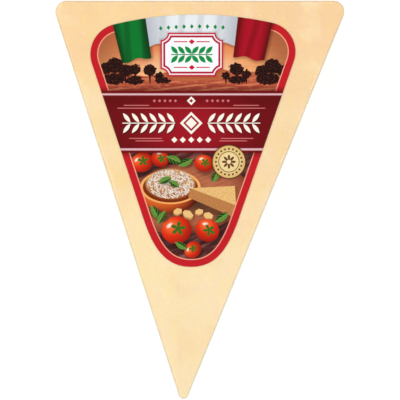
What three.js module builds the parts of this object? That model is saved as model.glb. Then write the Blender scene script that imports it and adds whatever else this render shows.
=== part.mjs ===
// A wedge of hard cheese in tight clear film, with a printed label on its upper cut face.
//
// Lengths are millimetres and +Z is up. +Y runs from the wedge's point to its rind end and +X
// across it. The pack lies flat on its lower cut face, and the origin is on that face, under the
// middle of the pack's outline.

import * as THREE from 'three';

// Pack outline at the film's seam, between its corners as they would be if they were sharp.
const RIND_END_WIDTH = 85.3;
const SHARP_LENGTH = 116.4;
const POINT_OFFSET = -5; // the point lies left of the middle of the rind end
const RIND_LEFT_RADIUS = 3.3;
const RIND_RIGHT_RADIUS = 3.2;
const POINT_RADIUS = 1.5;

// Pack section: flat faces, rounded rims, and the film's seam round the middle of the walls.
const THICKNESS = 25.5;
const RIM_RADIUS = 1;
const SEAM_REACH = 0.3;
const SEAM_HALF_HEIGHT = 0.5;

// Label: a shallow crown arc, two round shoulders, tapering sides and a blunt nose.
const LABEL_THICKNESS = 0.15;
const LABEL_AXIS_X = -2.45;
const LABEL_TOP_Y = 52.7;
const LABEL_NOSE_Y = -19.1;
const LABEL_HALF_WIDTH = 15.42; // where the sides cross y = 0
const LEFT_TAPER = THREE.MathUtils.degToRad(18.4);
const RIGHT_TAPER = THREE.MathUtils.degToRad(19.3);
const CROWN_RADIUS = 100;
const CROWN_CENTRE_X = -0.9;
const LEFT_SHOULDER_RADIUS = 8.7;
const RIGHT_SHOULDER_RADIUS = 8.4;
const NOSE_START_Y = -5.75; // the sides are straight down to here
const NOSE_SIDE_PULL = 0.74; // how far the nose follows the side before it turns
const NOSE_TIP_PULL = 0.68; // how far it stays level at its lowest point

// Facets.
const CORNER_STEPS = 10;
const RIM_STEPS = 5;
const SEAM_STEPS = 3; // on each side of the seam's crest
const LABEL_CURVE_STEPS = 14;

const wrappedCheese = new THREE.MeshStandardMaterial({
  color: 0xfbdcaa,
  roughness: 0.3,
  metalness: 0,
});

const labelPrint = new THREE.MeshStandardMaterial({
  color: 0xa3242c,
  roughness: 0.4,
  metalness: 0,
});

// The three sharp corners in counter-clockwise order, with the rind end along y = 0.
function sharpCorners() {
  return [
    { at: new THREE.Vector2(POINT_OFFSET, -SHARP_LENGTH), radius: POINT_RADIUS },
    { at: new THREE.Vector2(RIND_END_WIDTH / 2, 0), radius: RIND_RIGHT_RADIUS },
    { at: new THREE.Vector2(-RIND_END_WIDTH / 2, 0), radius: RIND_LEFT_RADIUS },
  ];
}

// Points along the rounded outline, each with the outward direction there. Moving every point
// back along its direction shrinks the outline evenly, with its arcs still round.
function roundedOutline(corners) {
  const outline = [];
  corners.forEach((corner, i) => {
    const before = corners[(i + corners.length - 1) % corners.length].at;
    const after = corners[(i + 1) % corners.length].at;
    const inbound = corner.at.clone().sub(before).normalize();
    const outbound = after.clone().sub(corner.at).normalize();
    const firstAngle = Math.atan2(-inbound.x, inbound.y);
    const turn = Math.acos(inbound.dot(outbound));
    const inward = outbound.clone().sub(inbound).normalize();
    const reach = corner.radius / Math.cos(turn / 2);
    const centre = corner.at.clone().addScaledVector(inward, reach);
    for (let step = 0; step <= CORNER_STEPS; step++) {
      const angle = firstAngle + (turn * step) / CORNER_STEPS;
      const outward = new THREE.Vector2(Math.cos(angle), Math.sin(angle));
      outline.push({ at: centre.clone().addScaledVector(outward, corner.radius), outward });
    }
  });
  return outline;
}

// Moves the outline so that the middle of its extent in x and y is at the origin.
function centreOutline(outline) {
  const extent = new THREE.Box2().setFromPoints(outline.map((place) => place.at));
  const middle = extent.getCenter(new THREE.Vector2());
  outline.forEach((place) => place.at.sub(middle));
  return outline;
}

// The wall's section from the lower face to the upper one: how far in from the outline each
// level is, and how high.
function wallSection() {
  const levels = [];
  const wallInset = SEAM_REACH;
  for (let step = 0; step <= RIM_STEPS; step++) {
    const angle = (Math.PI / 2) * (step / RIM_STEPS);
    levels.push({
      inset: wallInset + RIM_RADIUS * (1 - Math.sin(angle)),
      z: RIM_RADIUS * (1 - Math.cos(angle)),
    });
  }
  for (let step = -SEAM_STEPS; step <= SEAM_STEPS; step++) {
    const along = step / SEAM_STEPS;
    levels.push({
      inset: SEAM_REACH * Math.sin((Math.PI / 2) * along) ** 2,
      z: THICKNESS / 2 + SEAM_HALF_HEIGHT * along,
    });
  }
  for (let step = 0; step <= RIM_STEPS; step++) {
    const angle = (Math.PI / 2) * (step / RIM_STEPS);
    levels.push({
      inset: wallInset + RIM_RADIUS * (1 - Math.cos(angle)),
      z: THICKNESS - RIM_RADIUS * (1 - Math.sin(angle)),
    });
  }
  return levels;
}

// A closed solid: one ring of points for each level, walls between the rings, and a flat cap at
// each end.
function loftOutline(outline, levels) {
  const count = outline.length;
  const positions = [];
  const faces = [];
  levels.forEach(({ inset, z }) => {
    outline.forEach(({ at, outward }) => {
      positions.push(at.x - inset * outward.x, at.y - inset * outward.y, z);
    });
  });
  for (let level = 0; level + 1 < levels.length; level++) {
    for (let i = 0; i < count; i++) {
      const next = (i + 1) % count;
      const low = level * count;
      const high = low + count;
      faces.push(low + i, low + next, high + next);
      faces.push(low + i, high + next, high + i);
    }
  }
  const top = (levels.length - 1) * count;
  const cap = THREE.ShapeUtils.triangulateShape(outline.map((place) => place.at), []);
  cap.forEach(([a, b, c]) => {
    faces.push(a, c, b);
    faces.push(top + a, top + b, top + c);
  });
  const geometry = new THREE.BufferGeometry();
  geometry.setAttribute('position', new THREE.Float32BufferAttribute(positions, 3));
  geometry.setIndex(faces);
  geometry.computeVertexNormals();
  return geometry;
}

// One side of the label: the straight side line, the shoulder arc that touches both it and the
// crown arc, and the nose curve's points below the straight part. sign is -1 left, 1 right.
function labelSide(sign, taper, shoulderRadius) {
  const up = new THREE.Vector2(sign * Math.sin(taper), Math.cos(taper));
  const inward = new THREE.Vector2(-sign * Math.cos(taper), Math.sin(taper));
  const atZero = new THREE.Vector2(LABEL_AXIS_X + sign * LABEL_HALF_WIDTH, 0);
  const alongSide = (y) => atZero.clone().addScaledVector(up, y / up.y);

  const crownCentre = new THREE.Vector2(CROWN_CENTRE_X, LABEL_TOP_Y - CROWN_RADIUS);
  const start = atZero.clone().addScaledVector(inward, shoulderRadius);
  const fromCrown = start.clone().sub(crownCentre);
  const half = fromCrown.dot(up);
  const gap = CROWN_RADIUS - shoulderRadius;
  const climb = -half + Math.sqrt(half * half - fromCrown.lengthSq() + gap * gap);
  const centre = start.addScaledVector(up, climb);
  const outOfCrown = centre.clone().sub(crownCentre);

  const noseTip = new THREE.Vector2(LABEL_AXIS_X, LABEL_NOSE_Y);
  const noseStart = alongSide(NOSE_START_Y);
  const meeting = alongSide(LABEL_NOSE_Y);
  return {
    centre,
    radius: shoulderRadius,
    sideAngle: Math.atan2(-inward.y, -inward.x),
    crownAngle: Math.atan2(outOfCrown.y, outOfCrown.x),
    noseStart,
    sideHandle: noseStart.clone().lerp(meeting, NOSE_SIDE_PULL),
    tipHandle: noseTip.clone().lerp(meeting, NOSE_TIP_PULL),
    noseTip,
  };
}

// The label's outline, counter-clockwise from the lowest point of its nose.
function labelOutline() {
  const left = labelSide(-1, LEFT_TAPER, LEFT_SHOULDER_RADIUS);
  const right = labelSide(1, RIGHT_TAPER, RIGHT_SHOULDER_RADIUS);
  const crownY = LABEL_TOP_Y - CROWN_RADIUS;
  const shape = new THREE.Shape();
  shape.moveTo(right.noseTip.x, right.noseTip.y);
  shape.bezierCurveTo(
    right.tipHandle.x, right.tipHandle.y,
    right.sideHandle.x, right.sideHandle.y,
    right.noseStart.x, right.noseStart.y,
  );
  shape.absarc(
    right.centre.x, right.centre.y, right.radius, right.sideAngle, right.crownAngle, false,
  );
  shape.absarc(
    CROWN_CENTRE_X, crownY, CROWN_RADIUS, right.crownAngle, left.crownAngle, false,
  );
  shape.absarc(
    left.centre.x, left.centre.y, left.radius, left.crownAngle, left.sideAngle, false,
  );
  shape.lineTo(left.noseStart.x, left.noseStart.y);
  shape.bezierCurveTo(
    left.sideHandle.x, left.sideHandle.y,
    left.tipHandle.x, left.tipHandle.y,
    left.noseTip.x, left.noseTip.y,
  );
  return shape;
}

function wrappedWedge() {
  const outline = centreOutline(roundedOutline(sharpCorners()));
  const mesh = new THREE.Mesh(loftOutline(outline, wallSection()), wrappedCheese);
  mesh.name = 'wrapped_wedge';
  return mesh;
}

function printedLabel() {
  const geometry = new THREE.ExtrudeGeometry(labelOutline(), {
    depth: LABEL_THICKNESS,
    bevelEnabled: false,
    curveSegments: LABEL_CURVE_STEPS,
  });
  const mesh = new THREE.Mesh(geometry, labelPrint);
  mesh.name = 'label';
  mesh.position.z = THICKNESS;
  return mesh;
}

const cheesePack = new THREE.Group();
cheesePack.add(wrappedWedge(), printedLabel());

export default cheesePack;
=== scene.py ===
import functools
import math
from collections import namedtuple

import bpy
import numpy as np
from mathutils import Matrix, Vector, noise


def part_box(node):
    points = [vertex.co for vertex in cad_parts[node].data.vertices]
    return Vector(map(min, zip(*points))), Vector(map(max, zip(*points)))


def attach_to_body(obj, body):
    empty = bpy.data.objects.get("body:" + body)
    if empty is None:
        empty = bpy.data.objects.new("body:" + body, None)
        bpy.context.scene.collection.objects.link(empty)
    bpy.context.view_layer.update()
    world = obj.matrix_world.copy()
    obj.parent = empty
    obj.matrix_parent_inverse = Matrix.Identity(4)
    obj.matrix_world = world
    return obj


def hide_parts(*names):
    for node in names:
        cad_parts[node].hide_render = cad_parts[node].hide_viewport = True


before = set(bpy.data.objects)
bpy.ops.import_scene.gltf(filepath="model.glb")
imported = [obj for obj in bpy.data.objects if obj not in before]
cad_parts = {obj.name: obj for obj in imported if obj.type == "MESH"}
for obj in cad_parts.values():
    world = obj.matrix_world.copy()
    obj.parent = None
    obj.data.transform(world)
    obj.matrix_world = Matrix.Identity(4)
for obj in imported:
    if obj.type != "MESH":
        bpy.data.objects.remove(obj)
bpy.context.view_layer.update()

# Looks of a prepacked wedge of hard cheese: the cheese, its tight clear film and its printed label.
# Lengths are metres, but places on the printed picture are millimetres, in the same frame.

MM = 0.001

# The pack's outline at the film's seam, between its corners as they would be if they were sharp.
RIND_END_WIDTH = 85.3 * MM
SHARP_LENGTH = 116.4 * MM
POINT_OFFSET = -5 * MM
CORNER_RADII = (1.5 * MM, 3.2 * MM, 3.3 * MM)  # the point, then the rind end's right and left
RADIUS_KEPT = 0.5  # share of a corner's radius that the rings inside it keep, as they shrink

# The film and the cheese in it.
FILM_INSET = 0.06 * MM  # from the outline to the film's walls
SEAM_HALF_HEIGHT = 0.5 * MM
FILM_TOP_GAP = 0.03 * MM  # from the CAD solid's top down to the film
CHEESE_GAP = 0.03 * MM  # the least distance from the film to the cheese
FILM_RIM = 1 * MM
CHEESE_RIM = 0.95 * MM
FILM_FOLLOWS = 0.8  # share of the cheese's relief that the tight film shows

# Relief, always inwards from the smooth form.
SWELL_DEPTH = 0.1 * MM
SWELL_SIZE = 17 * MM
GRAIN_DEPTH = 0.05 * MM
GRAIN_SIZE = 3.2 * MM
CUT_DEPTH = 0.08 * MM
CUT_LENGTH = 40 * MM
CUT_HEIGHT = 1.5 * MM
NICK_DEPTH = 0.14 * MM
NICK_SIZE = 2.6 * MM
WALL_SWELL = 0.3  # share of the swell that the walls have
SWELL_LEVEL = 18 * MM  # the height at which the swell is read, for the cheese and the label

# Creases that the film's pull leaves beside the seam at the upright corners.
CREASE_HEIGHT = 0.14 * MM
CREASE_SPACING = 1.7 * MM
CREASE_REACH = 9 * MM  # along the wall from the corner
CREASE_DROP = 5 * MM  # up and down from the seam

# Mesh steps.
FACE_STEP = 0.62 * MM
BASE_STEP = 2.5 * MM
WALL_STEP = 0.6 * MM
RIM_STEPS = 8
SEAM_STEPS = 5
CORNER_STEPS = 16
SIDE_STEPS = (170, 116, 170)
SIDE_EASE = 0.6  # how much closer together a side's points are at its ends

# Label outline: a shallow crown arc, two round shoulders, tapering sides and a blunt nose.
LABEL_AXIS_X = -2.45 * MM
LABEL_TOP_Y = 52.7 * MM
LABEL_NOSE_Y = -19.1 * MM
LABEL_HALF_WIDTH = 15.42 * MM
LABEL_TAPERS = {-1: math.radians(18.4), 1: math.radians(19.3)}
LABEL_SHOULDERS = {-1: 8.7 * MM, 1: 8.4 * MM}
CROWN_RADIUS = 100 * MM
CROWN_CENTRE_X = -0.9 * MM
NOSE_START_Y = -5.75 * MM
NOSE_SIDE_PULL = 0.74
NOSE_TIP_PULL = 0.68

# Label body.
LABEL_GAP = 0.01 * MM
LABEL_THICKNESS = 0.13 * MM
LABEL_EDGE = 0.04 * MM
LABEL_POINTS = 400
LABEL_RIM = 2.4 * MM
LABEL_RIM_STEPS = 8
LABEL_RINGS = 44
LABEL_MIDDLE = (LABEL_AXIS_X, 20 * MM)

# Light and camera.
SENSOR = 36 * MM
LENS_MM = 1000
FRAME_WIDTH = 114 * MM  # what the picture spans at the height of FOCUS_Z
FOCUS_Z = 18 * MM
AIM_X = 0.03 * MM
AIM_Y = -0.057 * MM
LABEL_LIGHT = 1.09  # how bright a white matt face is on the label
CHEESE_LIGHT = 1.04  # and in the cheese, under the film
GLOSS_LIFT = 0.011  # what the gloss adds to every colour


# ---- Node trees ----


class Field:
    """A number, colour or vector that varies over a surface: one output of a node."""

    def __init__(self, tree, output):
        self.tree = tree
        self.output = output

    def __add__(self, other):
        return calculate("ADD", self, other)

    def __sub__(self, other):
        return calculate("SUBTRACT", self, other)

    def __rsub__(self, other):
        return calculate("SUBTRACT", other, self)

    def __mul__(self, other):
        return calculate("MULTIPLY", self, other)

    def __truediv__(self, other):
        return calculate("DIVIDE", self, other)

    def __abs__(self):
        return calculate("ABSOLUTE", self)


def wire(tree, value, socket):
    """Sets a node's input to a number, or links it to a Field."""
    if isinstance(value, Field):
        tree.links.new(value.output, socket)
    else:
        socket.default_value = value


def add_node(tree, kind, inputs=(), output=0, **settings):
    """Adds a shader node, with its inputs by place or by name, and gives one of its outputs."""
    made = tree.nodes.new("ShaderNode" + kind)
    for name, value in settings.items():
        setattr(made, name, value)
    named = inputs.items() if isinstance(inputs, dict) else enumerate(inputs)
    for key, value in named:
        wire(tree, value, made.inputs[key])
    return Field(tree, made.outputs[output])


def tree_of(*values):
    return next(value.tree for value in values if isinstance(value, Field))


def calculate(operation, *values):
    return add_node(tree_of(*values), "Math", values, operation=operation)


def joined(operation, values):
    """Several fields combined into one, such as their least by MINIMUM."""
    return functools.reduce(functools.partial(calculate, operation), values)


def axes(place):
    """The x, y and z of a vector."""
    tree = place.tree
    made = tree.nodes.new("ShaderNodeSeparateXYZ")
    wire(tree, place, made.inputs[0])
    return [Field(tree, output) for output in made.outputs]


def stretched(place, size, turn=0.0):
    """The place in the units of a pattern that is turned and stretched."""
    inputs = {"Vector": place, "Rotation": (0, 0, math.radians(turn)), "Scale": (*size, 1)[:3]}
    return add_node(place.tree, "Mapping", inputs, vector_type="TEXTURE")


Spot = namedtuple("Spot", "x y")  # two fields: a place on a flat picture


def length(spot):
    return calculate("SQRT", calculate("MULTIPLY_ADD", spot.x, spot.x, spot.y * spot.y))


def projected(spot, at, direction):
    """How far the spot lies from at along a direction."""
    found = -(at[0] * direction[0] + at[1] * direction[1])
    for value, share in zip(spot, direction):
        if share:
            found = calculate("MULTIPLY_ADD", value, share, found)
    return found


def local(spot, at, turn=0.0, size=(1, 1)):
    """The spot as seen from a shape's own centre, along its own axes and in its own units."""
    cos, sin = math.cos(math.radians(turn)), math.sin(math.radians(turn))
    long, wide = size
    return Spot(
        projected(spot, at, (cos / long, sin / long)),
        projected(spot, at, (-sin / wide, cos / wide)),
    )


def ramp(value, low, high, smooth=True):
    """0 where the value is low, 1 where it is high, and a step between."""
    kind = "SMOOTHSTEP" if smooth else "LINEAR"
    inputs = {"Value": value, "From Min": low, "From Max": high}
    return add_node(value.tree, "MapRange", inputs, interpolation_type=kind)


def below(value, edge, blur=0.04):
    """1 where the value is under the edge and 0 where it is over it."""
    return ramp(value, edge + blur, edge - blur)


def within(value, middle, half, blur=0.04):
    """1 where the value is no further than half from the middle."""
    return below(abs(value - middle), half, blur)


def between(value, near, far, blur=0.04):
    return within(value, (near + far) / 2, (far - near) / 2, blur)


def mix(factor, under, over, blend="MIX"):
    """Two colours mixed by a factor."""
    tree = tree_of(factor, under, over)
    inputs = {0: factor, 6: under, 7: over}
    return add_node(tree, "Mix", inputs, output=2, data_type="RGBA", blend_type=blend)


def noise_field(place, scale, detail):
    inputs = {"Vector": place, "Scale": scale, "Detail": detail}
    return add_node(place.tree, "TexNoise", inputs)


def long_noise(place, size, detail, turn=0.0):
    """Noise with features as long and as wide as size."""
    return noise_field(stretched(place, size, turn), 1, detail)


def bumped(height, strength, distance):
    """A normal that follows a height, which stands for distance where it is 1."""
    inputs = {"Strength": strength, "Distance": distance, "Height": height}
    return add_node(height.tree, "Bump", inputs)


def linear(channel):
    """A display channel from 0 to 1 as linear light."""
    if channel <= 0.04045:
        return channel / 12.92
    return ((channel + 0.055) / 1.055) ** 2.4


def ink(red, green, blue, light=LABEL_LIGHT):
    """The base colour that shows as this 8-bit display colour under the scene's light."""
    shown = (linear(channel / 255) for channel in (red, green, blue))
    return (*(max(value / light - GLOSS_LIFT, 0.001) for value in shown), 1.0)


def curd(red, green, blue):
    """As ink, for the cheese under its film."""
    return ink(red, green, blue, CHEESE_LIGHT)


def new_material(name):
    """An empty material and its tree."""
    material = bpy.data.materials.new(name)
    material.use_nodes = True
    material.node_tree.nodes.clear()
    return material, material.node_tree


def finish_tree(tree, shader_kind, inputs, output_kind="Material"):
    """Ends a tree in a shader with these inputs."""
    shader = add_node(tree, shader_kind, inputs)
    output = tree.nodes.new("ShaderNodeOutput" + output_kind)
    wire(tree, shader, output.inputs["Surface"])


def object_place(tree):
    return add_node(tree, "TexCoord", output="Object")


# ---- Outlines and meshes ----


def placed(name, data):
    made = bpy.data.objects.new(name, data)
    bpy.context.scene.collection.objects.link(made)
    return made


class WedgeOutline:
    """The pack's rounded triangle. Its rings match point for point, whatever their inset."""

    def __init__(self, low, high):
        self.corners = np.array(
            [(POINT_OFFSET, -SHARP_LENGTH), (RIND_END_WIDTH / 2, 0), (-RIND_END_WIDTH / 2, 0)]
        )
        sides = np.roll(self.corners, -1, axis=0) - self.corners
        lengths = np.linalg.norm(sides, axis=1)
        self.along = sides / lengths[:, None]
        self.inradius = RIND_END_WIDTH * SHARP_LENGTH / lengths.sum()
        ring = self.ring(0)
        middle = (ring.max(0) + ring.min(0)) / 2
        self.corners += (np.array(low[:2]) + np.array(high[:2])) / 2 - middle
        self.outward = self.directions()

    def rays(self, i):
        """The directions round a corner's arc, and how far it turns."""
        inbound, outbound = self.along[i - 1], self.along[i]
        turn = math.acos(inbound @ outbound)
        angles = math.atan2(-inbound[0], inbound[1]) + np.linspace(0, turn, CORNER_STEPS + 1)
        return np.stack([np.cos(angles), np.sin(angles)], axis=1), turn

    def arc_centre(self, i, inset, radius, turn):
        inward = self.along[i] - self.along[i - 1]
        inward /= np.linalg.norm(inward)
        return self.corners[i] + inward * (inset + radius) / math.cos(turn / 2)

    def ring(self, inset):
        """Points round the outline moved in by inset, counter-clockwise from the point."""
        arcs = []
        for i, full in enumerate(CORNER_RADII):
            shrinking = full * RADIUS_KEPT * (1 - inset / self.inradius)
            radius = max(full - inset, shrinking)
            rays, turn = self.rays(i)
            arcs.append(self.arc_centre(i, inset, radius, turn) + radius * rays)
        stretches = []
        for i, arc in enumerate(arcs):
            start, end = arc[-1], arcs[(i + 1) % 3][0]
            share = side_shares(SIDE_STEPS[i])[:, None]
            stretches += [arc, start + (end - start) * share]
        return np.concatenate(stretches)

    def directions(self):
        """The outward direction at each point of a ring."""
        found = []
        for i in range(3):
            found.append(self.rays(i)[0])
            normal = (self.along[i][1], -self.along[i][0])
            found.append(np.tile(normal, (SIDE_STEPS[i] - 1, 1)))
        return np.concatenate(found)

    def corner_distances(self):
        """How far along the wall each point of a ring is from the nearest upright corner."""
        ring = self.ring(0)
        gaps = np.linalg.norm(ring[:, None] - self.corners[None], axis=2)
        return gaps.min(1)


def side_shares(steps):
    """Where a side's points lie between its ends, closer together near them."""
    even = np.arange(1, steps) / steps
    return even - SIDE_EASE * np.sin(2 * math.pi * even) / (2 * math.pi)


def spaced(start, end, step):
    """Evenly spaced values from start to end, no further apart than step."""
    return np.linspace(start, end, math.ceil(abs(end - start) / step) + 1)


def wall_section(outline, inset, low, high, rim, rows):
    """The section from the middle of the base, out and up the wall, to the middle of the top.
    Each level has its inset, its height and the angle at which its normal rises."""
    turns = np.linspace(0, math.pi / 2, RIM_STEPS + 1)
    base = spaced(outline.inradius, inset + rim, BASE_STEP)[1:-1]
    face = spaced(inset + rim, outline.inradius, FACE_STEP)[1:-1]
    levels = [(distance, low, -math.pi / 2) for distance in base]
    for turn in turns:
        out, up = 1 - math.sin(turn), 1 - math.cos(turn)
        levels.append((inset + rim * out, low + rim * up, turn - math.pi / 2))
    levels += [(inset, z, 0.0) for z in rows]
    for turn in turns:
        out, up = 1 - math.cos(turn), 1 - math.sin(turn)
        levels.append((inset + rim * out, high - rim * up, turn))
    levels += [(distance, high, math.pi / 2) for distance in face]
    return levels


def body_rings(outline, levels):
    """The points of each level as an array of rings, and the normal at each point."""
    rings, normals = [], []
    for inset, z, lift in levels:
        flat = outline.ring(inset)
        rings.append(np.column_stack([flat, np.full(len(flat), z)]))
        level_normals = outline.outward * math.cos(lift)
        normals.append(np.column_stack([level_normals, np.full(len(flat), math.sin(lift))]))
    return np.array(rings), np.array(normals)


def lofted(name, rings, material):
    """A closed piece through rings of matching points. Its first and last ring close on a pole."""
    levels, count = rings.shape[:2]
    poles = np.array([rings[0].mean(0), rings[-1].mean(0)])
    points = np.concatenate([rings.reshape(-1, 3), poles])
    here = np.arange(count)
    after = (here + 1) % count
    faces = []
    for level in range(levels - 1):
        low, high = level * count, (level + 1) * count
        quads = np.stack([low + here, low + after, high + after, high + here], axis=1)
        faces += quads.tolist()
    last = (levels - 1) * count
    base_pole, top_pole = levels * count, levels * count + 1
    faces += np.stack([np.full(count, base_pole), after, here], axis=1).tolist()
    faces += np.stack([last + here, last + after, np.full(count, top_pole)], axis=1).tolist()
    mesh = bpy.data.meshes.new(name)
    mesh.from_pydata(points.tolist(), [], faces)
    mesh.shade_smooth()
    mesh.materials.append(material)
    return placed(name, mesh)


# ---- Relief ----


def wave(points, size):
    """Smooth noise from 0 to 1 at each point. Its features are about as large as size."""
    scaled = (points / size).reshape(-1, 3).tolist()
    values = [0.5 + 0.5 * noise.noise(Vector(place)) for place in scaled]
    return np.clip(values, 0, 1).reshape(points.shape[:-1])


def swell(points):
    """The slow rise and fall of the cut faces, the same at every height."""
    flat = points * (1, 1, 0) + (0, 0, SWELL_LEVEL)
    return SWELL_DEPTH * wave(flat, SWELL_SIZE)


def relief(points, normals):
    """How deep the cheese's surface lies under its smooth form. Its base stays flat."""
    rising = normals[..., 2]
    walls = 1 - rising**2
    rims = (2 * rising * np.sqrt(walls)) ** 2
    depth = swell(points) * (1 - (1 - WALL_SWELL) * walls)
    depth += GRAIN_DEPTH * wave(points, GRAIN_SIZE)
    cuts = wave(points, np.array([CUT_LENGTH, CUT_LENGTH, CUT_HEIGHT]))
    nicks = wave(points, NICK_SIZE)
    depth += CUT_DEPTH * walls * cuts + NICK_DEPTH * rims * nicks**2
    return depth * (rising > -0.99)


def pushed_in(rings, normals, depth):
    return rings - normals * depth[..., None]


# ---- Cheese ----

CHEESE_TONES = [  # along the wedge, in millimetres from the rind end
    (0, curd(252, 216, 164)),
    (14, curd(252, 216, 165)),
    (30, curd(251, 223, 172)),
    (52, curd(252, 224, 174)),
    (72, curd(253, 230, 183)),
    (116, curd(252, 229, 184)),
]
# painted shade: the cut faces grow darker towards the right, as if lit from the left
CHEESE_RIGHT_SHADE = (0.98, 0.96, 1, 1)
CHEESE_ROSY = (1, 0.965, 1.06, 1)
CHEESE_YELLOW = (1, 1.015, 0.9, 1)
# painted shade: the cheese's rims and walls are darker and greyer than its top
RIM_WALL_SHADE = (0.89, 0.93, 0.96, 1)
CHEESE_PALE = curd(255, 232, 190)
CHEESE_DEEP = curd(247, 209, 152)
CRYSTAL = curd(255, 240, 208)
RIND = curd(230, 182, 112)
RIND_DARK = curd(206, 152, 86)
RIND_LIGHT = curd(242, 204, 140)
CLOUDS_PER_MM = 0.11
GRAINS_PER_MM = 0.9
PORES_PER_MM = 2.6
CRYSTALS_PER_MM = 0.42
WORN_PER_MM = 0.12
SPECKLES_PER_MM = 1.6
HUE_SIZE = (1.6 * MM, 4 * MM, 4 * MM)
PORE_DEPTH = 0.06 * MM
SUBSURFACE_RADIUS = (1.0, 0.55, 0.28)
SUBSURFACE_SCALE = 1.6 * MM


def tone_ramp(value, stops):
    """A colour that follows a value from 0 through the stops."""
    span = stops[-1][0]
    share = ramp(value, 0, span, smooth=False)
    made = value.tree.nodes.new("ShaderNodeValToRGB")
    wire(value.tree, share, made.inputs[0])
    elements = made.color_ramp.elements
    while len(elements) < len(stops):
        elements.new(1)
    for element, (at, colour) in zip(elements, stops):
        element.position = at / span
        element.color = colour
    return Field(value.tree, made.outputs["Color"])


def varied(colour, field, calm, reach, over, under, blend="MIX"):
    """The colour turned one way where a noise is over a half and another way where it is under.
    Each way is a tint and its strength. It starts calm away from the half, and is full at reach."""
    for side, (tint, strength) in ((1, over), (-1, under)):
        share = ramp(field, 0.5 + side * calm, 0.5 + side * reach) * strength
        colour = mix(share, colour, tint, blend)
    return colour


def cut_colour(millimetres, grainy, rind_end_y):
    """The cut faces: tones along the wedge, painted shade towards the right, clouds, grain and pale
    crystals.
    """
    x, y, _ = axes(millimetres)
    colour = tone_ramp(rind_end_y / MM - y, CHEESE_TONES)
    # painted shade: darker towards the right, as if lit from the left
    colour = mix(ramp(x, -30, 25), colour, CHEESE_RIGHT_SHADE, "MULTIPLY")
    cloudy = noise_field(millimetres, CLOUDS_PER_MM, 3)
    colour = varied(colour, cloudy, 0, 0.25, (CHEESE_PALE, 0.6), (CHEESE_DEEP, 0.35))
    hue = long_noise(object_place(x.tree), HUE_SIZE, 2)
    colour = varied(colour, hue, 0, 0.25, (CHEESE_ROSY, 1), (CHEESE_YELLOW, 1), "MULTIPLY")
    colour = varied(colour, grainy, 0.05, 0.25, (CHEESE_DEEP, 0.3), (CHEESE_PALE, 0.3))
    inputs = {"Vector": millimetres, "Scale": CRYSTALS_PER_MM}
    crystals = add_node(x.tree, "TexVoronoi", inputs, output="Distance")
    return mix(below(crystals, 0.12, 0.05) * 0.35, colour, CRYSTAL)


def rind_colour(millimetres):
    worn = noise_field(millimetres, WORN_PER_MM, 6)
    colour = mix(ramp(worn, 0.25, 0.75), RIND, RIND_DARK)
    speckle = noise_field(millimetres, SPECKLES_PER_MM, 3)
    return varied(colour, speckle, 0.1, 0.22, (RIND_DARK, 0.5), (RIND_LIGHT, 0.5))


def cheese_material(rind_end_y):
    material, tree = new_material("parmesan")
    millimetres = stretched(object_place(tree), (MM, MM, MM))
    grainy = noise_field(millimetres, GRAINS_PER_MM, 4)
    colour = cut_colour(millimetres, grainy, rind_end_y)
    _, towards_rind, rising = axes(add_node(tree, "TexCoord", output="Normal"))
    # painted shade: rims and walls darker and greyer than the top, by how far the surface tilts
    colour = mix(ramp(rising, 0.97, 0.6), colour, RIM_WALL_SHADE, "MULTIPLY")
    colour = mix(ramp(towards_rind, 0.85, 0.98), colour, rind_colour(millimetres))
    settings = {
        "Base Color": colour,
        "Roughness": ramp(grainy, 0.2, 0.8, smooth=False) * 0.2 + 0.45,
        "Specular IOR Level": 0.25,
        "Subsurface Weight": 0.15,
        "Subsurface Radius": SUBSURFACE_RADIUS,
        "Subsurface Scale": SUBSURFACE_SCALE,
        "Normal": bumped(noise_field(millimetres, PORES_PER_MM, 5), 0.3, PORE_DEPTH),
    }
    finish_tree(tree, "BsdfPrincipled", settings)
    return material


def make_cheese(outline, low, high):
    inset = FILM_INSET + CHEESE_GAP
    base = low[2] + CHEESE_GAP
    top = high[2] - FILM_TOP_GAP - CHEESE_GAP
    rows = spaced(base + CHEESE_RIM, top - CHEESE_RIM, WALL_STEP)[1:-1]
    levels = wall_section(outline, inset, base, top, CHEESE_RIM, rows)
    rings, normals = body_rings(outline, levels)
    surface = pushed_in(rings, normals, relief(rings, normals))
    return lofted("cheese", surface, cheese_material(high[1] - inset))


# ---- Film ----

FILM_IOR = 1.6  # more than the plastic's own, as both faces of the film reflect
FILM_TINT = (0.995, 0.995, 0.99, 1)
SEAM_WHITE = (0.93, 0.92, 0.88, 1)
SEAM_HAZE = 0.45
FOLD_HEIGHT = 0.4 * MM
PLEAT_SIZE = (3 * MM, 3 * MM, 12 * MM)
PLEAT_REACH = 9 * MM  # up and down from the seam
PLEAT_HAZE = 0.1
RIPPLE_SIZE = (9 * MM, 24 * MM, 9 * MM)
RIPPLE_TURN = 25
RIPPLE_HEIGHT = 5  # in units of FOLD_HEIGHT
WRINKLES_PER_M = 420
WRINKLE_HEIGHT = 0.05
SMEARS_PER_M = 120


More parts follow.
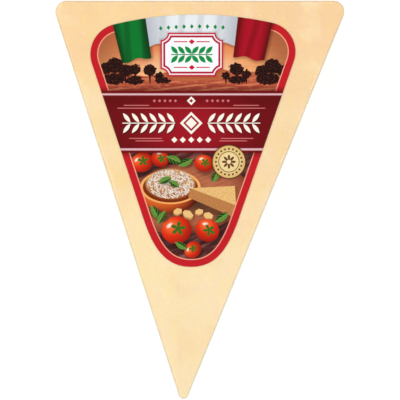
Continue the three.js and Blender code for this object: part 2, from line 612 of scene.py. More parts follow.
def film_material(seam_z):
    material, tree = new_material("clear_film")
    place = object_place(tree)
    *_, height = axes(place)
    *_, rising = axes(add_node(tree, "TexCoord", output="Normal"))
    walls = ramp(abs(rising), 0.6, 0.2)
    from_seam = abs(height - seam_z)
    pleats = ramp(long_noise(place, PLEAT_SIZE, 3), 0.42, 0.72)
    folds = pleats * ramp(from_seam, PLEAT_REACH, 0) * walls
    ripples = long_noise(place, RIPPLE_SIZE, 1, RIPPLE_TURN)
    wrinkles = noise_field(place, WRINKLES_PER_M, 2)
    rough = ripples * RIPPLE_HEIGHT + wrinkles * WRINKLE_HEIGHT + folds
    smears = noise_field(place, SMEARS_PER_M, 3)
    finish = {"Roughness": ramp(smears, 0.3, 0.7) * 0.08 + 0.07}
    finish["Normal"] = bumped(rough, 0.8, FOLD_HEIGHT)
    seal = ramp(from_seam, SEAM_HALF_HEIGHT, 0.5 * SEAM_HALF_HEIGHT) * walls * SEAM_HAZE
    haze = calculate("MAXIMUM", seal, folds * PLEAT_HAZE)

    clear = add_node(tree, "BsdfTransparent", {"Color": FILM_TINT})
    milky = add_node(tree, "BsdfDiffuse", {"Color": SEAM_WHITE})
    gloss = add_node(tree, "BsdfGlossy", finish)
    fresnel = add_node(tree, "Fresnel", {"IOR": FILM_IOR})
    behind = add_node(tree, "NewGeometry", output="Backfacing")
    sheet = add_node(tree, "MixShader", (haze, clear, milky))
    finish_tree(tree, "MixShader", (fresnel * (1 - behind), sheet, gloss))
    return material


def seam_rows(low, high):
    """Levels up the film's wall, with extra ones round the seam in its middle."""
    middle = (low + high) / 2
    seam = middle + SEAM_HALF_HEIGHT * np.linspace(-1, 1, 2 * SEAM_STEPS + 1)
    below_seam = spaced(low, seam[0], WALL_STEP)[1:-1]
    above_seam = spaced(seam[-1], high, WALL_STEP)[1:-1]
    return np.concatenate([below_seam, seam, above_seam])


def seam_and_creases(outline, rings, middle):
    """How far the seam and the creases beside it stand out from the film's walls."""
    from_seam = np.abs(rings[..., 2] - middle)
    seam = np.cos(np.minimum(from_seam / SEAM_HALF_HEIGHT, 1) * math.pi / 2) ** 2
    from_corner = outline.corner_distances()
    fade = np.clip(1 - from_corner / CREASE_REACH, 0, 1) ** 2
    folds = 0.5 + 0.5 * np.cos(2 * math.pi * from_corner / CREASE_SPACING)
    drop = np.clip(1 - from_seam / CREASE_DROP, 0, 1) ** 2
    creases = CREASE_HEIGHT * drop * (fade * folds)[None]
    return np.maximum(FILM_INSET * seam, creases)


def make_film(outline, low, high):
    top = high[2] - FILM_TOP_GAP
    rows = seam_rows(low[2] + FILM_RIM, top - FILM_RIM)
    levels = wall_section(outline, FILM_INSET, low[2], top, FILM_RIM, rows)
    rings, normals = body_rings(outline, levels)
    depth = FILM_FOLLOWS * relief(rings, normals)
    walls = 1 - normals[..., 2] ** 2
    seam_z = (low[2] + top) / 2
    proud = seam_and_creases(outline, rings, seam_z)
    depth = depth * (1 - walls * proud / proud.max()) - proud * walls
    return lofted("film", pushed_in(rings, normals, depth), film_material(seam_z))


# ---- Label outline and body ----


def arc(centre, radius, start, end, steps=60):
    angles = np.linspace(start, end, steps + 1)
    return np.array(centre) + radius * np.stack([np.cos(angles), np.sin(angles)], axis=1)


def bezier(a, b, c, d, steps=80):
    share = np.linspace(0, 1, steps + 1)[:, None]
    rest = 1 - share
    return a * rest**3 + 3 * b * rest**2 * share + 3 * c * rest * share**2 + d * share**3


def label_side(sign):
    """The shoulder arc and the nose curve on one side of the label: -1 is left, 1 is right."""
    taper, radius = LABEL_TAPERS[sign], LABEL_SHOULDERS[sign]
    up = np.array([sign * math.sin(taper), math.cos(taper)])
    inward = np.array([-sign * math.cos(taper), math.sin(taper)])
    at_zero = np.array([LABEL_AXIS_X + sign * LABEL_HALF_WIDTH, 0])
    crown_centre = np.array([CROWN_CENTRE_X, LABEL_TOP_Y - CROWN_RADIUS])
    start = at_zero + inward * radius
    from_crown = start - crown_centre
    half = from_crown @ up
    gap = CROWN_RADIUS - radius
    centre = start + up * (-half + math.sqrt(half**2 - from_crown @ from_crown + gap**2))
    side_angle = math.atan2(-inward[1], -inward[0])
    crown_angle = math.atan2(*(centre - crown_centre)[::-1])
    if sign < 0:
        side_angle %= 2 * math.pi
    tip = np.array([LABEL_AXIS_X, LABEL_NOSE_Y])
    nose_start = at_zero + up * NOSE_START_Y / up[1]
    meeting = at_zero + up * LABEL_NOSE_Y / up[1]
    side_handle = nose_start + (meeting - nose_start) * NOSE_SIDE_PULL
    tip_handle = tip + (meeting - tip) * NOSE_TIP_PULL
    nose = bezier(tip, tip_handle, side_handle, nose_start)
    return nose, centre, radius, side_angle, crown_angle


def label_outline():
    """Evenly spaced points round the label, counter-clockwise from its lowest one, and the
    outward direction at each."""
    right_nose, right, right_radius, right_side, right_crown = label_side(1)
    left_nose, left, left_radius, left_side, left_crown = label_side(-1)
    crown_centre = (CROWN_CENTRE_X, LABEL_TOP_Y - CROWN_RADIUS)
    stretches = [
        right_nose,
        arc(right, right_radius, right_side, right_crown),
        arc(crown_centre, CROWN_RADIUS, right_crown, left_crown),
        arc(left, left_radius, left_crown, left_side),
        left_nose[::-1],
    ]
    path = np.concatenate(stretches)
    travelled = np.append(0, np.cumsum(np.linalg.norm(np.diff(path, axis=0), axis=1)))
    even = np.linspace(0, travelled[-1], LABEL_POINTS, endpoint=False)
    points = np.stack([np.interp(even, travelled, path[:, i]) for i in range(2)], axis=1)
    tangents = np.roll(points, -1, axis=0) - np.roll(points, 1, axis=0)
    tangents /= np.linalg.norm(tangents, axis=1)[:, None]
    return points, np.stack([tangents[:, 1], -tangents[:, 0]], axis=1)


def label_face_rings(points, outward):
    """Flat rings from the label's middle out to its edge, and about how far in each is."""
    middle = np.array(LABEL_MIDDLE)
    inner_edge = points - LABEL_RIM * outward
    rings, insets = [], []
    for ring in range(1, LABEL_RINGS):
        share = ring / LABEL_RINGS
        rings.append(middle + (inner_edge - middle) * share)
        insets.append(LABEL_RIM + (1 - share) * LABEL_HALF_WIDTH)
    for inset in np.linspace(LABEL_RIM, LABEL_EDGE, LABEL_RIM_STEPS + 1):
        rings.append(points - inset * outward)
        insets.append(inset)
    return rings, insets


def make_label(film_top):
    points, outward = label_outline()
    face, insets = label_face_rings(points, outward)
    levels = [(ring, 0) for ring in face]
    levels += [(points, LABEL_EDGE), (points, LABEL_THICKNESS - LABEL_EDGE)]
    levels += [(ring, LABEL_THICKNESS) for ring in face[::-1]]
    rings = []
    for flat, height in levels:
        ring = np.column_stack([flat, np.zeros(len(flat))])
        ring[:, 2] = film_top + LABEL_GAP + height - FILM_FOLLOWS * swell(ring)
        rings.append(ring)
    piece = lofted("printed_label", np.array(rings), label_material())
    insets = [*insets, 0, 0, *insets[::-1]]
    values = np.append(np.repeat(insets, len(points)), [LABEL_HALF_WIDTH] * 2) / MM
    rim = piece.data.attributes.new("rim", "FLOAT", "POINT")
    rim.data.foreach_set("value", values.astype(np.float32))
    return piece


# ---- Printed picture ----


class Artwork:
    """A printed picture in the making. Each shape paints over what is there."""

    def __init__(self, spot, place, colour=None):
        self.spot = spot
        self.place = place  # the same spot as a vector, for noise
        self.colour = colour

    def paint(self, mask, colour, strength=1.0):
        factor = mask if strength == 1 else mask * strength
        self.colour = mix(factor, self.colour, colour)


# The label's layout in millimetres.
AXIS = LABEL_AXIS_X / MM
CROWN = (CROWN_CENTRE_X / MM, (LABEL_TOP_Y - CROWN_RADIUS) / MM)
CROWN_R = CROWN_RADIUS / MM
BANNER_MIDDLE = 22.175
BANNER_HALF = 7.825
BANNER_LIP = 1.0  # how far the banner reaches past its silver lines
LINES = [(29.98, 0.25), (14.33, 0.28)]  # height and half width of the silver lines

PAPER_MARGIN = 0.03
FIBRES_PER_MM = 5
FIBRE_DEPTH = 0.02 * MM
BORDER_WIDTH = 1.92
PINSTRIPE_HALF = 0.15
PINSTRIPE_GAP = 0.05
PAPER = ink(252, 236, 214)
BORDER_RED = ink(198, 41, 48)
PEACH = ink(250, 158, 132)

# Landscape.
SKY = [  # height over SKY_BASE, and colour
    (0, ink(247, 190, 136)),
    (6, ink(245, 174, 116)),
    (13, ink(232, 144, 94)),
    (22, ink(206, 112, 76)),
]
SKY_BASE = 30.0
GLOW = ink(254, 220, 178)
CLOUD = ink(214, 122, 88)
DUSK = ink(128, 66, 44)
FAR_HILL = ink(190, 102, 68)
MIDDLE_HILL = ink(180, 84, 62)
NEAR_HILL = ink(158, 68, 54)
FURROW = ink(224, 138, 98)
TREE = ink(44, 28, 26)
TREE_LIT = ink(104, 60, 44)
FAR_CREST = (36.3, [(0.9, 6.5, 1.0), (0.35, 2.1, 0)])
MIDDLE_CREST = (34.6, [(0.8, 5.2, -1.4), (0.25, 1.7, 1)])
NEAR_CREST = (32.7, [(0.5, 7.3, 2.0), (0.2, 2.3, 0.5)])
GLOW_AT = (AXIS, 37)
GLOW_SIZE = (20, 7)
LEAF_WOBBLE = 1.7
CROWN_FLATNESS = 0.92
TREES = [  # x, y and radius of each crown
    (-26.8, 37.3, 1.8),
    (-24.2, 38.2, 2.4),
    (-21.2, 36.6, 2.0),
    (-18.4, 37.1, 1.6),
    (-14.2, 36.9, 1.8),
    (-11.6, 35.2, 1.2),
    (7.4, 35.2, 1.2),
    (10.4, 37.2, 2.0),
    (13.2, 35.7, 1.4),
    (17.5, 36.6, 1.9),
    (20.6, 37.9, 2.4),
    (23.4, 36.8, 1.8),
]
HEDGES = [  # x, y, half length and half height
    (-24.5, 34.3, 3.2, 1.6),
    (-18.6, 33.9, 2.6, 1.2),
    (-10.6, 33.9, 2.4, 0.9),
    (10.6, 34.1, 2.6, 1.1),
    (19.4, 34.3, 3.6, 1.6),
]
TRUNK_HALF = 0.24
TRUNK_FOOT = 33.0


def crest(x, height, waves):
    """The height of a hill at each x. Each wave has its own height, stretch and shift."""
    for rise, stretch, shift in waves:
        height = calculate("SINE", x / stretch + shift) * rise + height
    return height


def wobbled(art, scale, reach):
    """The spot shifted here and there, so that what is drawn with it has uneven edges."""
    shifts = (noise_field(stretched(art.place, (1, 1), turn), scale, 3) for turn in (0, 90))
    return Spot(*((shift - 0.5) * reach + value for shift, value in zip(shifts, art.spot)))


def trunk(spot, x, top):
    half_size = (TRUNK_HALF, (top - TRUNK_FOOT) / 2)
    return length(local(spot, (x, (top + TRUNK_FOOT) / 2), size=half_size))


def paint_trees(art):
    leafy = wobbled(art, 1.3, LEAF_WOBBLE)
    crowns = [(x, y, radius, radius * CROWN_FLATNESS) for x, y, radius in TREES]
    leaves = mix(ramp(noise_field(art.place, 2.4, 3), 0.5, 0.75), TREE, TREE_LIT)
    trunks = joined("MINIMUM", (trunk(art.spot, x, y) for x, y, _ in TREES))
    art.paint(below(trunks, 1), TREE)
    shapes = (length(local(leafy, row[:2], size=row[2:])) for row in crowns + HEDGES)
    art.paint(below(joined("MINIMUM", shapes), 1, 0.05), leaves)


def paint_hill(art, height_over, colour):
    """A ploughed hill. height_over is how far each point is over its crest."""
    x, y = art.spot
    clods = long_noise(art.place, (2.2, 0.7), 4)
    soil = mix(ramp(clods, 0.45, 0.75) * 0.5, colour, FURROW)
    art.paint(below(height_over, 0, 0.1), soil)
    rows = calculate("SINE", x * 0.45 - y * 3.6)
    art.paint(below(height_over, -0.3, 0.1) * ramp(rows, 0.2, 0.9), FURROW, 0.55)


def paint_landscape(art):
    x, y = art.spot
    haze = long_noise(art.place, (7, 1.6), 4)
    art.colour = tone_ramp(y - SKY_BASE, SKY)
    art.paint(ramp(haze, 0.5, 0.75), CLOUD, 0.6)
    art.paint(ramp(abs(x - AXIS) + (y - SKY_BASE) * 0.4, 18, 32), DUSK, 0.6)
    glow = length(local(art.spot, GLOW_AT, size=GLOW_SIZE))
    art.paint(below(glow, 0.5, 0.5), GLOW, 0.8)
    art.paint(below(y - crest(x, *FAR_CREST), 0, 0.12), FAR_HILL)
    paint_hill(art, y - crest(x, *MIDDLE_CREST), MIDDLE_HILL)
    paint_trees(art)
    paint_hill(art, y - crest(x, *NEAR_CREST), NEAR_HILL)


# Band in three fields under the crown.
BAND_FIELDS = [  # middle and half width along the crown, depth, middle and edge colour
    (-19.65, 4.95, 11.2, ink(8, 122, 54), ink(18, 62, 36)),
    (16.95, 5.15, 11.2, ink(174, 32, 46), ink(106, 22, 30)),
    (-1.45, 13.25, 8.0, ink(234, 238, 240), ink(188, 192, 200)),
]
BAND_SHADOW = ink(60, 26, 22)
STUD = ink(34, 140, 70)
STUD_MIDDLE = -1.45  # along the crown
STUD_DEPTH = 3.4
STUD_SPACING = 2.3
STUD_REACH = 10.4
STUD_SIZE = 0.55
HEM_SWING = 0.35  # how far the band's lower edge rises and falls
FOLD_DARKNESS = 0.45


def paint_band(art):
    from_centre = local(art.spot, CROWN)
    along = from_centre.x / from_centre.y * CROWN_R
    depth = CROWN_R - length(from_centre)
    hang = calculate("SINE", along * 0.9) * HEM_SWING + depth
    folds = ramp(calculate("SINE", along * 1.15 + depth * 0.16), 0, 1) * FOLD_DARKNESS
    for middle, half, drop, *_ in BAND_FIELDS:
        shade = within(along, middle + 0.4, half + 0.3, 0.7) * below(hang, drop + 0.5, 0.8)
        art.paint(shade, BAND_SHADOW, 0.55)
    for middle, half, drop, bright, dark in BAND_FIELDS:
        off_middle = abs(along - middle) / half
        satin = mix(ramp(off_middle, 0.35, 1.05), bright, dark)
        field = below(off_middle, 1, 0.005) * below(hang, drop)
        art.paint(field, mix(folds, satin, dark))
    step = calculate("PINGPONG", along - STUD_MIDDLE, STUD_SPACING / 2)
    stud = abs(depth - STUD_DEPTH) * 0.8 + step
    art.paint(below(stud, STUD_SIZE) * within(along, STUD_MIDDLE, STUD_REACH), STUD)


# Plaque with a row of leaves between two dividers.
PLAQUE_AT = (-2.3, 41.3)
PLAQUE_HALF = (8.9, 6.2)
NOTCH = 2.1
PLAQUE_RINGS = [  # distance in from the plaque's edge, and colour
    (0.0, ink(200, 44, 62)),
    (0.42, ink(247, 230, 236)),
    (0.8, ink(182, 38, 62)),
    (1.35, ink(250, 250, 252)),
]
LEAF_GREEN = ink(20, 146, 74)
PLAQUE_RED = ink(208, 36, 62)
PLAQUE_LEAVES_REACH = 5.9
PLAQUE_LEAVES = (1.97, 48, (1.45, 0.62))  # spacing, turn and half size
DIVIDER_HEIGHT = 3.65  # above and below the plaque's middle
DIVIDER_BARS = (1.3, 5.1, 0.15)  # nearest and furthest reach, and half thickness
DIVIDER_LOZENGE = 0.72


def vesica(spot):
    """A pointed leaf in its own units: under 1 inside it."""
    return spot.x * spot.x + abs(spot.y)


def leaf_row(out, off, spacing, turn, size):
    """Pairs of leaves along a stem, as a mask. out runs along the stem and off across it."""
    cell = Spot(calculate("WRAP", out, spacing, 0), abs(off))
    long, wide = size
    leaf = vesica(local(cell, (spacing / 2, long * 0.88), turn, size))
    return calculate("MAXIMUM", below(leaf, 1, 0.05), below(abs(off), wide * 0.24))


def paint_plaque(art):
    spot = local(art.spot, PLAQUE_AT)
    over = Spot(*(abs(value) - half for value, half in zip(spot, PLAQUE_HALF)))
    edge = joined("MAXIMUM", (over.x, over.y, NOTCH - length(over)))
    art.paint(below(edge, 0.2, 0.6), BAND_SHADOW, 0.5)
    for inset, colour in PLAQUE_RINGS:
        art.paint(below(edge, -inset), colour)
    out = abs(spot.x)
    leaves = leaf_row(out, spot.y, *PLAQUE_LEAVES)
    art.paint(leaves * below(out, PLAQUE_LEAVES_REACH), LEAF_GREEN)
    drop = abs(abs(spot.y) - DIVIDER_HEIGHT)
    art.paint(below(out * 0.8 + drop, DIVIDER_LOZENGE), PLAQUE_RED)
    near, far, thick = DIVIDER_BARS
    art.paint(between(out, near, far) * below(drop, thick), PLAQUE_RED)


# Banner.
BANNER_RED = ink(162, 35, 45)
BANNER_DARK = ink(98, 26, 31)
BANNER_LIP_RED = ink(114, 26, 31)
SILVER = ink(228, 182, 186)
SILVER_EDGE = ink(124, 56, 62)
ROSE = ink(212, 120, 118)
CREAM = ink(252, 244, 230)
BANNER_SHADOW = ink(58, 10, 16)
RULES = [  # height, nearest and furthest reach from the label's axis
    (26.85, 12.0, 19.2),
    (26.05, 0.0, 21.0),
    (17.45, 8.4, 17.6),
    (16.75, 8.0, 15.8),
]
RULE_HALF = 0.12
BANNER_SHADOW_REACH = 1.8  # past the lip
BANNER_GLOW_DROP = 1.6  # the banner's bright middle is lower than its own
BANNER_FADE = 22  # from the axis to the banner's dark ends
GARLAND_LEAVES = (2.5, 52, (1.7, 0.54))  # spacing, turn and half size
GARLAND_SHADOW_AT = (0.28, -0.28)
GARLAND_Y = 21.8
GARLAND_REACH = (4.6, 19.6)
SMALL_ROWS = [  # height, spacing, nearest and furthest reach, size, colour
    (28.15, 1.5, 3.7, 11.2, 0.44, ROSE),
    (17.05, 2.4, -1.0, 6.0, 0.85, CREAM),
]
MEDALS = [  # height, half width and colour of the lozenges on the banner's axis
    (28.15, 1.25, CREAM),
    (28.15, 0.55, BANNER_RED),
    (GARLAND_Y, 3.2, CREAM),
    (GARLAND_Y, 2.3, BANNER_RED),
    (GARLAND_Y, 1.6, CREAM),
]


def paint_row(art, height, spacing, near, far, size, colour):
    """A row of small lozenges, the same on both sides of the label's axis."""
    out = abs(art.spot.x - AXIS)
    step = calculate("PINGPONG", out, spacing / 2)
    lozenges = below(step + abs(art.spot.y - height), size)
    art.paint(lozenges * between(out, near, far), colour)


def garland(spot):
    """Leaf pairs on both sides of the label's axis, as a mask."""
    out = abs(spot.x - AXIS)
    leaves = leaf_row(out - GARLAND_REACH[0], spot.y - GARLAND_Y, *GARLAND_LEAVES)
    return leaves * between(out, *GARLAND_REACH)


def paint_banner(art):
    x, y = art.spot
    out, up = abs(x - AXIS), abs(y - BANNER_MIDDLE)
    red = mix(ramp(out, 0, BANNER_FADE) * 0.8, BANNER_RED, BANNER_DARK)
    from_glow = abs(y - (BANNER_MIDDLE - BANNER_GLOW_DROP)) / BANNER_HALF
    red = mix(ramp(from_glow, 0.35, 1.2) * 0.75, red, BANNER_DARK)
    lip = BANNER_HALF + BANNER_LIP
    art.paint(ramp(up, lip + BANNER_SHADOW_REACH, lip - 0.2), BANNER_SHADOW, 0.5)
    art.paint(below(up, lip, 0.1), BANNER_LIP_RED)
    art.paint(below(up, BANNER_HALF), red)
    for height, thick in LINES:
        art.paint(within(y, height, thick + 0.2, 0.15), SILVER_EDGE)
        art.paint(within(y, height, thick, 0.08), SILVER)
    for height, near, far in RULES:
        art.paint(within(y, height, RULE_HALF) * between(out, near, far, 0.3), ROSE)
    art.paint(garland(local(art.spot, GARLAND_SHADOW_AT)), BANNER_SHADOW, 0.8)
    art.paint(garland(art.spot), CREAM)
    for height, size, colour in MEDALS:
        art.paint(below(out + abs(y - height), size), colour)
    for row in SMALL_ROWS:
        paint_row(art, *row)


# Lower picture.
TABLE_DARK = ink(80, 44, 44)
TABLE_WARM = ink(148, 90, 82)
SHADE = ink(28, 10, 12)
BOARD = [(0, ink(198, 126, 90)), (0.75, ink(178, 102, 74)), (1, ink(132, 68, 52))]
BOARD_GRAIN = ink(152, 82, 58)
BOARD_AT = (-3.4, 0.6)
BOARD_HALF = (17.5, 10.2)
TOMATO = [(0, ink(252, 122, 62)), (0.7, ink(224, 54, 32)), (1.6, ink(128, 20, 20))]
SHINE = ink(255, 236, 220)
CALYX = ink(66, 110, 40)
LEAF_DARK = ink(36, 74, 30)
LEAF_LIGHT = ink(92, 140, 56)
LEAF_RIB = ink(150, 184, 96)
BOWL_OUT = [(0, ink(240, 146, 68)), (0.8, ink(208, 94, 44)), (1.3, ink(110, 40, 26))]
BOWL_LIP = ink(250, 176, 102)
BOWL_IN = ink(124, 52, 30)
HEAP = ink(220, 174, 118)
HEAP_SHADE = ink(184, 108, 60)
SHRED = ink(242, 230, 214)
SHRED_SHADE = ink(142, 80, 54)
SHRED_SIZE = (2.6, 0.5)
SHRED_TURNS = (12, 75, 140)
CHEESE_TOP = ink(238, 194, 126)
CHEESE_SIDE = ink(194, 132, 80)
CHEESE_RIND = ink(152, 90, 52)
BOWL_AT = (-8.4, 3.6)
BOWL_HALF = 8.6
WEDGE_AT = (4.3, 0.9)
WEDGE_TURN = -12
WEDGE_SIZE = 7.4
BACK_TOMATOES = [  # x, y, radius and turn
    (-16.4, 10.7, 3.1, 20),
    (-11.3, 11.7, 2.6, -35),
    (1.2, 10.4, 2.7, -15),
]
FRONT_TOMATOES = [
    (-6.6, -8.6, 4.3, 10),
    (2.1, -8.7, 3.5, -30),
    (-2.0, -14.2, 2.5, 40),
]
BACK_LEAVES = [  # x, y, turn, half length and half width
    (-7.4, 11.4, 338, 2.4, 1.15),
    (-4.1, 10.6, 205, 2.3, 1.05),
    (4.4, 6.7, 245, 2.0, 0.95),
]
FRONT_LEAVES = [
    (-9.9, 5.6, 25, 2.0, 0.95),
    (-7.4, 4.6, 330, 1.8, 0.85),
    (-12.6, -3.6, 120, 2.4, 1.1),
    (-10.9, -5.0, 60, 2.2, 1.0),
    (6.2, -5.0, 215, 2.4, 1.1),
    (-5.3, -13.0, 150, 2.0, 0.95),
]
CHUNKS = [  # x, y, turn and size
    (-6.3, -3.3, 20, 1.3),
    (-3.4, -4.1, 335, 1.6),
    (-0.2, -3.4, 15, 1.2),
    (2.4, -4.5, 350, 1.4),
]
CHUNK_OUTLINE = [(-1.0, -0.1), (-0.35, -0.65), (0.75, -0.5), (1.0, 0.2), (0.1, 0.7), (-0.8, 0.45)]
CHUNK_HEIGHT = 0.35  # in units of its size


def paint_shadow(art, at, size, strength=0.6):
    spot = length(local(art.spot, at, size=size))
    art.paint(ramp(spot, 1.25, 0.6), SHADE, strength)


def paint_tomato(art, at, radius, turn):
    dropped = (at[0] + 0.15 * radius, at[1] - 0.25 * radius)
    paint_shadow(art, dropped, (radius * 1.1, radius * 1.1))
    spot = local(art.spot, at, turn, (radius, radius * 0.9))
    lit = length(local(spot, (-0.3, 0.35)))
    art.paint(below(length(spot), 1, 0.03), tone_ramp(lit, TOMATO))
    shine = length(local(spot, (-0.42, 0.42), 35, (0.26, 0.14)))
    art.paint(ramp(shine, 1.2, 0.5), SHINE, 0.85)
    crown = local(spot, (0.12, 0.1))
    angle = calculate("ARCTAN2", crown.y, crown.x)
    sepals = abs(calculate("COSINE", angle * 2.5)) * 0.42 + 0.1
    art.paint(below(length(crown) / sepals, 1, 0.1), CALYX)


def paint_leaf(art, at, turn, half_size):
    long, wide = half_size
    paint_shadow(art, (at[0] + 0.2, at[1] - 0.3), (long * 0.9, wide * 1.3), 0.5)
    spot = local(art.spot, at, turn, half_size)
    veins = calculate("SINE", spot.x * 14 - abs(spot.y) * 8)
    green = mix(ramp(spot.y, -0.25, 0.25), LEAF_DARK, LEAF_LIGHT)
    green = mix(ramp(veins, 0.6, 1) * 0.4, green, LEAF_RIB)
    green = mix(below(abs(spot.y), 0.07, 0.04) * 0.8, green, LEAF_RIB)
    art.paint(below(vesica(spot), 1, 0.05), green)


def paint_shreds(art, amount, turns):
    """Thin strokes in several directions. They shrink away where the amount falls."""
    for turn in turns:
        inputs = {"Vector": stretched(art.place, SHRED_SIZE, turn), "Scale": 1}
        nearest = add_node(
            amount.tree, "TexVoronoi", inputs, output="Distance", voronoi_dimensions="2D"
        )
        inside = amount - nearest
        art.paint(ramp(inside, 0.52, 0.64), SHRED_SHADE, 0.7)
        art.paint(ramp(inside, 0.66, 0.76), SHRED)


def paint_bowl(art, at, half):
    x, y = at
    paint_shadow(art, (x + 0.1 * half, y - 0.35 * half), (half * 1.05, half * 0.78), 0.75)
    body = local(art.spot, (x, y - 0.24 * half), size=(half * 0.93, half * 0.62))
    lit = length(local(body, (-0.3, 0.2)))
    art.paint(below(length(body), 1, 0.02), tone_ramp(lit, BOWL_OUT))
    for share, colour in ((1.0, BOWL_LIP), (0.91, BOWL_IN)):
        lip = length(local(art.spot, at, size=(half * share, half * share * 0.56)))
        art.paint(below(lip, 1, 0.02), colour)
    heap = local(art.spot, (x, y + 0.1 * half), size=(half * 0.8, half * 0.5))
    mound = below(length(heap), 1, 0.08)
    art.paint(mound, mix(ramp(heap.y, 0.2, -0.9), HEAP, HEAP_SHADE))
    paint_shreds(art, mound, SHRED_TURNS)


def polygon(spot, corners):
    """Under 0 inside a convex shape whose corners go round counter-clockwise."""
    edges = []
    for (x0, y0), (x1, y1) in zip(corners, [*corners[1:], corners[0]]):
        run = math.hypot(x1 - x0, y1 - y0)
        edges.append(projected(spot, (x0, y0), ((y1 - y0) / run, (x0 - x1) / run)))
    return joined("MAXIMUM", edges)


def paint_chunk(art, at, turn, size):
    """A small broken-off piece of cheese, its top over its side."""
    paint_shadow(art, (at[0] + 0.2, at[1] - 0.4 * size), (size * 1.1, size * 0.8))
    for drop, colour in ((CHUNK_HEIGHT * size, CHEESE_SIDE), (0, CHEESE_TOP)):
        spot = local(art.spot, (at[0], at[1] - drop), turn, (size, size))
        art.paint(below(polygon(spot, CHUNK_OUTLINE), 0, 0.05), colour)


def paint_wedge(art, at, turn, size):
    paint_shadow(art, (at[0] + 0.08 * size, at[1] - 0.3 * size), (size, size * 0.5), 0.7)
    spot = local(art.spot, at, turn, (size, size))
    tip, tip_foot = (-1.0, 0.12), (-1.0, -0.24)
    near, near_foot, far = (0.86, -0.16), (0.86, -0.62), (0.66, 0.56)
    rind, rind_foot, rind_far = (0.97, -0.14), (0.97, -0.59), (0.77, 0.58)
    crumb = ramp(noise_field(art.place, 2.2, 4), 0.4, 0.75) * 0.5
    shapes = [
        ([tip_foot, rind_foot, rind, rind_far, tip], CHEESE_RIND),
        ([tip_foot, near_foot, near, tip], mix(crumb, CHEESE_SIDE, CHEESE_RIND)),
        ([tip, near, far], mix(crumb, CHEESE_TOP, CHEESE_SIDE)),
    ]
    for corners, colour in shapes:
        art.paint(below(polygon(spot, corners), 0, 0.012), colour)


def paint_table(art):
    streaks = long_noise(art.place, (9, 1.5), 4, 24)
    art.colour = mix(ramp(streaks, 0.42, 0.72), TABLE_DARK, TABLE_WARM)
    paint_shadow(art, (BOARD_AT[0] + 0.5, BOARD_AT[1] - 1), BOARD_HALF, 0.8)
    edge = length(local(art.spot, BOARD_AT, 8, BOARD_HALF))
    grain = long_noise(art.place, (21, 0.8), 3, 20)
    wood = mix(ramp(grain, 0.5, 0.62) * 0.6, tone_ramp(edge, BOARD), BOARD_GRAIN)
    art.paint(below(edge, 1, 0.01), wood)


def paint_garnish(art, tomatoes, leaves):
    for x, y, radius, turn in tomatoes:
        paint_tomato(art, (x, y), radius, turn)
    for x, y, turn, *half_size in leaves:
        paint_leaf(art, (x, y), turn, half_size)


def paint_food(art):
    paint_garnish(art, BACK_TOMATOES, BACK_LEAVES)
    paint_bowl(art, BOWL_AT, BOWL_HALF)
    paint_wedge(art, WEDGE_AT, WEDGE_TURN, WEDGE_SIZE)
    for x, y, turn, size in CHUNKS:
        paint_chunk(art, (x, y), turn, size)
    paint_garnish(art, FRONT_TOMATOES, FRONT_LEAVES)


# Roundel.
ROUNDEL_AT = (8.25, 10.8)
ROUNDEL_RADIUS = 4.85
ROUNDEL_LINE = 0.28
ROUNDEL_RING = 2.9
BEAD_RING = 3.7
BEADS = 20
PETALS = 8
ROUNDEL_CREAM = ink(243, 222, 164)
ROUNDEL_TAN = ink(222, 186, 118)
ROUNDEL_BROWN = ink(112, 72, 44)


def paint_roundel(art):
    spot = local(art.spot, ROUNDEL_AT)
    away = length(spot)
    angle = calculate("ARCTAN2", spot.y, spot.x)
    art.paint(below(away, ROUNDEL_RADIUS + 0.2, 0.3), SHADE, 0.5)
    art.paint(below(away, ROUNDEL_RADIUS), ROUNDEL_BROWN)
    cream = mix(ramp(away, 1, ROUNDEL_RADIUS), ROUNDEL_CREAM, ROUNDEL_TAN)
    art.paint(below(away, ROUNDEL_RADIUS - ROUNDEL_LINE), cream)
    art.paint(within(away, ROUNDEL_RING, 0.1), ROUNDEL_BROWN)
    beads = calculate("PINGPONG", angle, math.pi / BEADS) * 3.8
    art.paint(below(length(Spot(beads, away - BEAD_RING)), 0.3), ROUNDEL_BROWN)
    petals = abs(calculate("COSINE", angle * (PETALS / 2))) * 1.3 + 0.7
    art.paint(below(away / petals, 1, 0.05), ROUNDEL_BROWN)
    art.paint(below(away, 0.6), ROUNDEL_CREAM)


def paint_border(art, rim):
    art.paint(below(rim, BORDER_WIDTH), BORDER_RED)
    pinstripe = BORDER_WIDTH + PINSTRIPE_GAP + PINSTRIPE_HALF
    art.paint(within(rim, pinstripe, PINSTRIPE_HALF), PEACH)


def label_material():
    material, tree = new_material("label_print")
    flat = add_node(tree, "Mapping", {"Vector": object_place(tree), "Scale": (1 / MM, 1 / MM, 0)})
    spot = Spot(*axes(flat)[:2])
    rim = add_node(tree, "Attribute", output="Fac", attribute_name="rim")
    upper = Artwork(spot, flat)
    paint_landscape(upper)
    lower = Artwork(spot, flat)
    paint_table(lower)
    paint_food(lower)
    ground = mix(below(spot.y, BANNER_MIDDLE), upper.colour, lower.colour)
    art = Artwork(spot, flat, ground)
    paint_border(art, rim)
    paint_band(art)
    paint_plaque(art)
    paint_banner(art)
    paint_roundel(art)
    art.paint(below(rim, PAPER_MARGIN), PAPER)

    fibre = noise_field(flat, FIBRES_PER_MM, 4)
    settings = {
        "Base Color": art.colour,
        "Roughness": ramp(fibre, 0.2, 0.8, smooth=False) * 0.1 + 0.33,
        "Specular IOR Level": 0.16,
        "Normal": bumped(fibre, 0.15, FIBRE_DEPTH),
    }
    finish_tree(tree, "BsdfPrincipled", settings)
    return material


# ---- Floor, light and camera ----


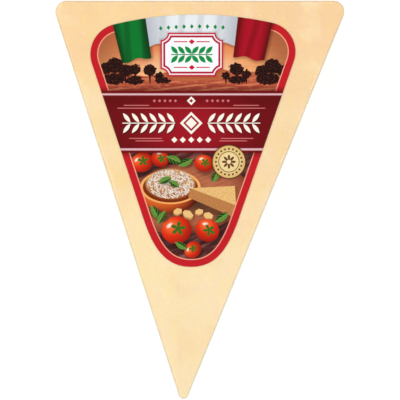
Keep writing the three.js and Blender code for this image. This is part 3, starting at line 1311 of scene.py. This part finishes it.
FLOOR_HALF = 8.0
FLOOR_GREY = (0.3, 0.3, 0.3, 1)
FLOOR_GLOW = 0.76
WHITE = (1, 1, 1, 1)
TENT_HORIZON = 0.1
TENT_SIDES = 1.36  # how much brighter its sides are than the horizon
TENT_TOP = 1.34  # and how much darker its top is than its sides
SOFTBOX_SIZE = 0.3
SOFTBOXES = [  # name, place and watts
    ("left_softbox", (-1.3, 0.5, 1.2), 3),
    ("right_softbox", (1.3, -0.2, 1.4), 2),
]
CLIP_END = 100


def make_floor():
    mesh = bpy.data.meshes.new("floor")
    low, high = -FLOOR_HALF, FLOOR_HALF
    corners = [(low, low, 0), (high, low, 0), (high, high, 0), (low, high, 0)]
    mesh.from_pydata(corners, [], [(0, 1, 2, 3)])
    material, tree = new_material("pale_floor")
    settings = {
        "Base Color": FLOOR_GREY,
        "Roughness": 0.9,
        "Specular IOR Level": 0.0,
        "Emission Color": WHITE,
        "Emission Strength": FLOOR_GLOW,
    }
    finish_tree(tree, "BsdfPrincipled", settings)
    mesh.materials.append(material)
    placed("floor", mesh)


def make_world():
    """A light tent: bright all round, less so straight up and at the horizon."""
    world = bpy.data.worlds.new("light_tent")
    bpy.context.scene.world = world
    world.use_nodes = True
    tree = world.node_tree
    tree.nodes.clear()
    *_, up = axes(add_node(tree, "TexCoord", output="Generated"))
    strength = ramp(up, 0.1, 0.65) * TENT_SIDES + TENT_HORIZON - ramp(up, 0.86, 0.97) * TENT_TOP
    finish_tree(tree, "Background", {"Color": WHITE, "Strength": strength}, "World")


def make_softbox(name, at, watts):
    light = bpy.data.lights.new(name, "AREA")
    light.shape = "SQUARE"
    light.size = SOFTBOX_SIZE
    light.energy = watts
    lamp = placed(name, light)
    lamp.location = at
    lamp.rotation_mode = "QUATERNION"
    lamp.rotation_quaternion = (-Vector(at)).to_track_quat("-Z", "Y")


def make_camera():
    camera = bpy.data.cameras.new("camera")
    camera.sensor_width = SENSOR / MM
    camera.lens = LENS_MM
    camera.clip_end = CLIP_END
    eye = placed("camera", camera)
    distance = FRAME_WIDTH * LENS_MM / camera.sensor_width
    eye.location = (AIM_X, AIM_Y, FOCUS_Z + distance)
    bpy.context.scene.camera = eye


def attach(piece, node):
    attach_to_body(piece, "root")
    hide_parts(node)


wedge_low, wedge_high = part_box("wrapped_wedge")
wedge_outline = WedgeOutline(wedge_low, wedge_high)
attach(make_cheese(wedge_outline, wedge_low, wedge_high), "wrapped_wedge")
attach(make_film(wedge_outline, wedge_low, wedge_high), "wrapped_wedge")
attach(make_label(wedge_high[2] - FILM_TOP_GAP), "label")

make_floor()
make_world()
for box in SOFTBOXES:
    make_softbox(*box)
make_camera()
bpy.context.scene.view_settings.view_transform = "Standard"
